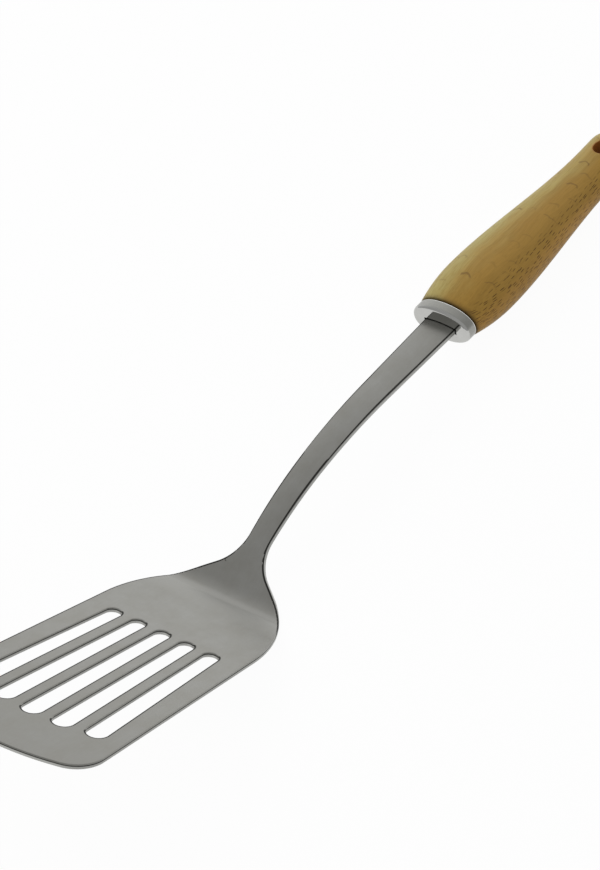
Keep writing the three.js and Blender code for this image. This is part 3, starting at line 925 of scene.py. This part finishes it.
def waxedBeech():
    # Turned, sanded and waxed beech: golden brown, yellower and paler on one side (partly painted light),
    # with straight fine grain, faint growth rings and a paler, warmer painted light on both limbs. Its rays
    # are short dark dashes on the side that they point to, and pale brown flakes on the sides that they lie
    # in. The end grain in the hole takes up more wax and is darker; the band behind the cap is painted shade.
    material, tree = newMaterial("waxedBeech")
    place = millimetres(tree, gripPlace())
    grained = addNode(tree, "ShaderNodeMapping", {"vector_type": "TEXTURE"}, {
        "Vector": place, "Rotation": (math.radians(handle["rayAngle"] - 90), 0, 0)})
    wander = addNode(tree, "ShaderNodeTexNoise", {}, {
        "Vector": place, "Scale": 1 / beech["wander"], "Detail": 2.0})
    drift = addNode(tree, "ShaderNodeVectorMath", {"operation": "MULTIPLY_ADD"}, {
        0: wander.outputs["Color"], 1: beech["wanderDrift"], 2: grained.outputs[0]}).outputs[0]
    axes = addNode(tree, "ShaderNodeSeparateXYZ", {}, {"Vector": drift})
    facing = addNode(tree, "ShaderNodeAttribute", {"attribute_name": "rayFacing"}, {}).outputs["Fac"]
    # yellow outer wood to browner inner wood, along the rays, with broad patches; the paler yellow towards -Y
    # is partly painted light
    length, width = beech["patch"]
    patched = addNode(tree, "ShaderNodeVectorMath", {"operation": "MULTIPLY"}, {
        0: place, 1: (1 / length, 1 / width, 1 / width)})
    patch = addNode(tree, "ShaderNodeTexNoise", {}, {
        "Vector": patched.outputs[0], "Scale": 1.0, "Detail": 3.0})
    depth = addNode(tree, "ShaderNodeMath", {"operation": "MULTIPLY_ADD"}, {
        0: patch.outputs["Fac"], 1: beech["patchDrift"], 2: axes.outputs["Z"]})
    yellowAndLit = addNode(tree, "ShaderNodeMapRange", {"interpolation_type": "SMOOTHSTEP"}, {
        "Value": depth.outputs[0], "From Min": beech["yellowLitFrom"], "From Max": beech["yellowLitTo"]})
    # painted light: a paler, warmer tone on the limbs that face +Y and -Y
    paintedSideLight = addNode(tree, "ShaderNodeMapRange", {}, {
        "Value": facing, "From Min": 0.75, "From Max": 0.98, "To Max": 0.4})
    # growth rings, as slow changes of tone along the rays
    rings = addNode(tree, "ShaderNodeTexNoise", {"noise_dimensions": "1D"}, {
        "W": axes.outputs["Z"], "Scale": 1 / beech["ringPitch"], "Detail": 2.0})
    ringTone = addNode(tree, "ShaderNodeMapRange", {}, {
        "Value": rings.outputs["Fac"], "From Min": 0.4, "From Max": 0.7, "To Max": 0.35})
    # fine grain lines
    length, width = beech["fibre"]
    stretched = addNode(tree, "ShaderNodeVectorMath", {"operation": "MULTIPLY"}, {
        0: drift, 1: (1 / length, 1 / width, 1 / width)})
    fibres = addNode(tree, "ShaderNodeTexNoise", {}, {
        "Vector": stretched.outputs[0], "Scale": 1.0, "Detail": 3.0}).outputs["Fac"]
    fibreTone = addNode(tree, "ShaderNodeMapRange", {}, {
        "Value": fibres, "From Min": 0.45, "From Max": 0.75, "To Max": 0.4})
    # flakes: thin plates of wood that show as short arcs, where the surface lies along the rays
    plane = addNode(tree, "ShaderNodeCombineXYZ", {}, {"X": axes.outputs["X"], "Y": axes.outputs["Z"]})
    crook = addNode(tree, "ShaderNodeTexNoise", {}, {
        "Vector": plane.outputs[0], "Scale": 1 / beech["crook"], "Detail": 2.0})
    crooked = addNode(tree, "ShaderNodeVectorMath", {"operation": "MULTIPLY_ADD"}, {
        0: crook.outputs["Color"], 1: (beech["crookDrift"], beech["crookDrift"], 0), 2: plane.outputs[0]})
    bow, bowReach, flakeChance = scatterMarks(
        tree, crooked.outputs[0], beech["flakePitch"], beech["flakeHalfSize"])
    offBow = addNode(tree, "ShaderNodeMath", {"operation": "SUBTRACT"}, {0: bowReach, 1: beech["flakeBow"]})
    bowGap = addNode(tree, "ShaderNodeMath", {"operation": "ABSOLUTE"}, {0: offBow.outputs[0]})
    stroke = addNode(tree, "ShaderNodeMapRange", {"interpolation_type": "SMOOTHSTEP"}, {
        "Value": bowGap.outputs[0], "From Min": 0.05, "From Max": 0.28, "To Min": 1.0, "To Max": 0.0})
    bowAxes = addNode(tree, "ShaderNodeSeparateXYZ", {}, {"Vector": bow})
    bowSide = addNode(tree, "ShaderNodeMapRange", {"interpolation_type": "SMOOTHSTEP"}, {
        "Value": bowAxes.outputs["X"], "From Min": -0.5, "From Max": 0.1, "To Min": 1.0, "To Max": 0.0})
    flakeKept = addNode(tree, "ShaderNodeMapRange", {}, {
        "Value": flakeChance, "From Min": 0.5, "From Max": 0.85, "To Max": 0.6})
    lying = addNode(tree, "ShaderNodeMapRange", {}, {
        "Value": facing, "From Min": 0.3, "From Max": 0.8, "To Min": 1.0, "To Max": 0.0})
    # rays end-on: one dash in most cells of a stretched pattern
    rayReach, rayChance = scatterMarks(tree, drift, beech["rayPitch"], beech["rayHalfSize"])[1:]
    dash = addNode(tree, "ShaderNodeMapRange", {"interpolation_type": "SMOOTHSTEP"}, {
        "Value": rayReach, "From Min": 0.8, "From Max": 1.1, "To Min": 1.0, "To Max": 0.0})
    rayKept = addNode(tree, "ShaderNodeMapRange", {}, {"Value": rayChance, "From Min": 0.1, "From Max": 0.4})
    endOn = addNode(tree, "ShaderNodeMapRange", {"interpolation_type": "SMOOTHSTEP"}, {
        "Value": facing, "From Min": 0.38, "From Max": 0.75, "To Max": 0.95})
    marks = []
    for mark, *limits in ((stroke, bowSide, flakeKept, lying), (dash, rayKept, endOn)):
        for limit in limits:
            mark = addNode(tree, "ShaderNodeMath", {"operation": "MULTIPLY"}, {
                0: mark.outputs[0], 1: limit.outputs[0]})
        marks.append(mark)
    flake, ray = marks
    # painted shade in the band behind the cap, and darker end grain in the hole
    back = addNode(tree, "ShaderNodeSeparateXYZ", {}, {"Vector": place}).outputs["X"]
    band = addNode(tree, "ShaderNodeMapRange", {}, {
        "Value": back, "From Min": -cap["length"] - beech["shoulderShade"], "From Max": -cap["length"]})
    shade = addNode(tree, "ShaderNodeMath", {"operation": "POWER"}, {0: band.outputs[0], 1: 3.0})
    holeCentre = -cap["length"] - handle["length"] + handle["holeEndDistance"]
    holeRadius = handle["holeDiameter"] / 2
    fromHole = addNode(tree, "ShaderNodeVectorMath", {"operation": "MULTIPLY_ADD"}, {
        0: place, 1: (1, 1, 0), 2: (-holeCentre, 0, 0)})
    around = addNode(tree, "ShaderNodeVectorMath", {"operation": "LENGTH"}, {0: fromHole.outputs[0]})
    inside = addNode(tree, "ShaderNodeMapRange", {"interpolation_type": "SMOOTHSTEP"}, {
        "Value": around.outputs["Value"], "From Min": holeRadius, "From Max": holeRadius + handle["holeRim"],
        "To Min": 0.9, "To Max": 0.0})
    color = addNode(tree, "ShaderNodeMix", {"data_type": "RGBA"}, {
        0: yellowAndLit.outputs[0], 6: hexColor("#b8ac6a"), 7: hexColor("#ad873d")}).outputs[2]
    for share, tint in (
        (paintedSideLight, "#c2904a"), (ringTone, "#906f2e"), (fibreTone, "#89672a"), (flake, "#70542a"),
        (ray, "#3a2105"), (shade, "#2e1f0a"), (inside, "#a0632a"),
    ):
        color = addNode(tree, "ShaderNodeMix", {"data_type": "RGBA"}, {
            0: share.outputs[0], 6: color, 7: hexColor(tint)}).outputs[2]
    gloss = addNode(tree, "ShaderNodeMapRange", {}, {
        "Value": fibres, "From Min": 0.3, "From Max": 0.7, "To Min": 0.42, "To Max": 0.52})
    hollows = addNode(tree, "ShaderNodeMath", {"operation": "MULTIPLY_ADD"}, {
        0: ray.outputs[0], 1: -0.8, 2: fibres})
    bump = addNode(tree, "ShaderNodeBump", {}, {
        "Height": hollows.outputs[0], "Strength": 0.2, "Distance": beech["poreDepth"] * mm})
    shader = addNode(tree, "ShaderNodeBsdfPrincipled", {}, {
        "Base Color": color, "Roughness": gloss.outputs[0], "Specular IOR Level": 0.2,
        "Normal": bump.outputs["Normal"]})
    finishMaterial(tree, shader)
    return material


def curedAdhesive():
    # Hidden bed of epoxy around the tang: a dull grey with clouds of about 3 mm where it was stirred.
    material, tree = newMaterial("curedAdhesive")
    place = millimetres(tree, gripPlace())
    cloud = addNode(tree, "ShaderNodeTexNoise", {}, {"Vector": place, "Scale": 1 / 3, "Detail": 3.0})
    color = addNode(tree, "ShaderNodeMix", {"data_type": "RGBA"}, {
        0: cloud.outputs["Fac"], 6: hexColor("#454541"), 7: hexColor("#50504c")})
    shader = addNode(tree, "ShaderNodeBsdfPrincipled", {}, {"Base Color": color.outputs[2], "Roughness": 0.6})
    finishMaterial(tree, shader)
    return material


def dress(piece, material):
    piece.data.materials.clear()
    piece.data.materials.append(material)


dress(bladeStamping, satinStainless())
dress(ferruleCap, polishedStainless())
dress(beechHandle, waxedBeech())
adhesive = curedAdhesive()
for slot in frame["nodes"]["tang_adhesive"].material_slots:
    slot.material = adhesive
print("materials set")

for piece, node, slotName in (
    (bladeStamping, "turner_sheet", "satin_stainless"),
    (ferruleCap, "ferrule", "polished_stainless"),
    (beechHandle, "handle", "waxed_beech"),
):
    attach(piece, "root")
    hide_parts(node)


# Floor, light and camera

studio = {
    "floorSize": 12.0,
    "floorGlow": 0.96,  # share of plain white in what the eye and the metal see of the floor
    "brightSide": Vector((-0.83, -0.55, 0.0)).normalized(),  # where the tent is lit from
    "dimLevel": 0.485,
    "brightLevel": 1.24,
    "dimFrom": -0.25,  # cosine from the bright side beyond which the tent is evenly dim
    "brightPower": 3.0,  # more draws the light closer to the bright side
    "keyPlace": (-0.25, -1.25, 0.95),
    "keySize": 1.2,
    "keyPower": 8.5,
}


def makeFloor():
    deselectAll()
    bpy.ops.mesh.primitive_plane_add(size=studio["floorSize"])
    floor = bpy.context.object
    floor.name = "floor"
    material, tree = newMaterial("whiteBoard")
    rays = addNode(tree, "ShaderNodeLightPath", {}, {})
    looked = addNode(tree, "ShaderNodeMath", {"operation": "ADD"}, {
        0: rays.outputs["Is Camera Ray"], 1: rays.outputs["Is Glossy Ray"]})
    seen = addNode(tree, "ShaderNodeMath", {"operation": "ADD", "use_clamp": True}, {
        0: looked.outputs[0], 1: rays.outputs["Is Transmission Ray"]})
    share = addNode(tree, "ShaderNodeMath", {"operation": "MULTIPLY"}, {
        0: seen.outputs[0], 1: studio["floorGlow"]})
    board = addNode(tree, "ShaderNodeBsdfDiffuse", {}, {"Color": hexColor("#fafafa")})
    glow = addNode(tree, "ShaderNodeEmission", {}, {"Strength": 1.0})
    mixed = addNode(tree, "ShaderNodeMixShader", {}, {
        0: share.outputs[0], 1: board.outputs[0], 2: glow.outputs[0]})
    finishMaterial(tree, mixed)
    dress(floor, material)


def makeWorld():  # a pale tent, lit from behind on the left
    world = bpy.data.worlds.new("paleTent")
    world.use_nodes = True
    bpy.context.scene.world = world
    tree = world.node_tree
    tree.nodes.clear()
    coords = addNode(tree, "ShaderNodeTexCoord", {}, {})
    side = addNode(tree, "ShaderNodeVectorMath", {"operation": "DOT_PRODUCT"}, {
        0: coords.outputs["Generated"], 1: studio["brightSide"]})
    share = addNode(tree, "ShaderNodeMapRange", {}, {
        "Value": side.outputs["Value"], "From Min": studio["dimFrom"], "From Max": 1.0})
    swell = addNode(tree, "ShaderNodeMath", {"operation": "POWER"}, {
        0: share.outputs[0], 1: studio["brightPower"]})
    level = addNode(tree, "ShaderNodeMapRange", {}, {
        "Value": swell.outputs[0], "To Min": studio["dimLevel"], "To Max": studio["brightLevel"]})
    back = addNode(tree, "ShaderNodeBackground", {}, {
        "Color": hexColor("#ffffff"), "Strength": level.outputs["Result"]})
    addNode(tree, "ShaderNodeOutputWorld", {}, {"Surface": back.outputs[0]})


def addLamp(name, place, size, power):  # a soft box turned to the spatula, screened from its metal's gloss
    data = bpy.data.lights.new(name, "AREA")
    data.size = size
    data.energy = power
    lamp = bpy.data.objects.new(name, data)
    bpy.context.scene.collection.objects.link(lamp)
    lamp.location = place
    lamp.rotation_euler = (-Vector(place)).to_track_quat("-Z", "Y").to_euler()
    lamp.visible_glossy = False


eye = {
    "target": (0.0292, 0.01506, 0.05522),  # what lies in the middle of the picture
    "distance": 1.4,
    "azimuth": 47.322,
    "elevation": 45.224,
    "roll": -14.663,
    "lens": 165.52,
    "sensor": 36.0,
    "clipEnd": 100.0,
}


def makeCamera():
    data = bpy.data.cameras.new("eye")
    data.lens = eye["lens"]
    data.sensor_width = eye["sensor"]
    data.clip_end = eye["clipEnd"]
    camera = bpy.data.objects.new("eye", data)
    bpy.context.scene.collection.objects.link(camera)
    azimuth, elevation, roll = (math.radians(eye[name]) for name in ("azimuth", "elevation", "roll"))
    out = Vector((math.cos(elevation) * math.cos(azimuth), math.cos(elevation) * math.sin(azimuth),
                  math.sin(elevation)))
    turn = out.to_track_quat("Z", "Y").to_matrix().to_4x4() @ Matrix.Rotation(roll, 4, "Z")
    camera.matrix_world = Matrix.Translation(Vector(eye["target"]) + out * eye["distance"]) @ turn
    bpy.context.scene.camera = camera


makeFloor()
makeWorld()
addLamp("key", studio["keyPlace"], studio["keySize"], studio["keyPower"])
makeCamera()
bpy.context.scene.view_settings.view_transform = "Standard"
print("stage set")
